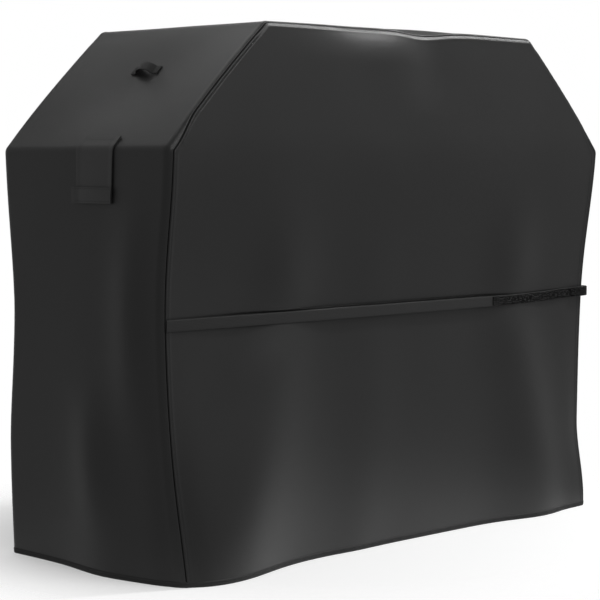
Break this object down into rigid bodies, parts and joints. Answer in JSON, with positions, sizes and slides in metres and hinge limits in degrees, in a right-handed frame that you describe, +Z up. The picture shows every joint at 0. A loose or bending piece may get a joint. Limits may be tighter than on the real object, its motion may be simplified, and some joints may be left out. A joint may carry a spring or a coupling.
{
  "type": "gas grill cover",
  "caption": "Fitted cloth cover for a gas grill: sloped shoulders, stitched front and rear panels, closing strap, hanging vent flaps, webbing pull handles and a bound hem.",
  "frame": {"origin": "on the floor, at the middle of the cover's length and depth", "axes": "+Z up; +X along the cover's length, towards the end where the strap closes; -Y towards the long side that carries the strap's exposed loop tape"},
  "size_m": [1.5228, 0.6402, 1.2114],
  "materials": {
    "cloth": "matt charcoal coated polyester cloth, very fine weave, soft sheen",
    "binding": "charcoal folded binding tape with one row of topstitch",
    "webbing": "charcoal flat polyester webbing, fine cross ribs",
    "hook_and_loop": "black hook-and-loop tape, coarse nap",
    "mesh": "black open polyester mesh",
    "label": "pale satin care label, blank"
  },
  "bodies": {
    "shell": {"front_panel": "cloth", "rear_panel": "cloth", "left_wall": "cloth", "left_slope": "cloth", "top_panel": "cloth", "right_slope": "cloth", "right_wall": "cloth", "hem_front": "binding", "hem_rear": "binding", "hem_left": "binding", "hem_right": "binding", "front_seam_binding": "binding", "rear_seam_binding": "binding", "care_label": "label", "front_strap": "webbing", "rear_strap": "webbing", "front_loop_tape": "hook_and_loop", "left_flap_sewn_edge": "cloth", "left_vent_mesh": "mesh", "right_flap_sewn_edge": "cloth", "right_vent_mesh": "mesh", "left_pull_handle": "webbing", "right_pull_handle": "webbing"},
    "left_flap": {"left_vent_flap": "cloth", "left_flap_hem_band": "binding"},
    "right_flap": {"right_vent_flap": "cloth", "right_flap_hem_band": "binding"},
    "front_tail": {"front_strap_tail": "webbing", "front_tail_loop_tape": "hook_and_loop"},
    "rear_tail": {"rear_strap_tail": "webbing", "rear_tail_hook_tape": "hook_and_loop"}
  },
  "joints": [
    {"name": "left_flap_lift", "type": "hinge", "parent": "shell", "child": "left_flap", "pos_m": [-0.7345, -0.046, 0.9518], "axis": [0, 1, 0], "range_deg": [0, 110]},
    {"name": "right_flap_lift", "type": "hinge", "parent": "shell", "child": "right_flap", "pos_m": [0.7345, -0.046, 0.9518], "axis": [0, -1, 0], "range_deg": [0, 110]},
    {"name": "rear_tail_peel", "type": "hinge", "parent": "shell", "child": "rear_tail", "pos_m": [0.745, 0.267, 0.557], "axis": [0, 0, 1], "range_deg": [0, 100]},
    {"name": "front_tail_peel", "type": "hinge", "parent": "shell", "child": "front_tail", "pos_m": [0.743, -0.249, 0.557], "axis": [0, 0, -1], "range_deg": [0, 90]}
  ],
  "couplings": [
    {"joint": "front_tail_peel", "follows": "rear_tail_peel", "ratio": 0.5}
  ]
}
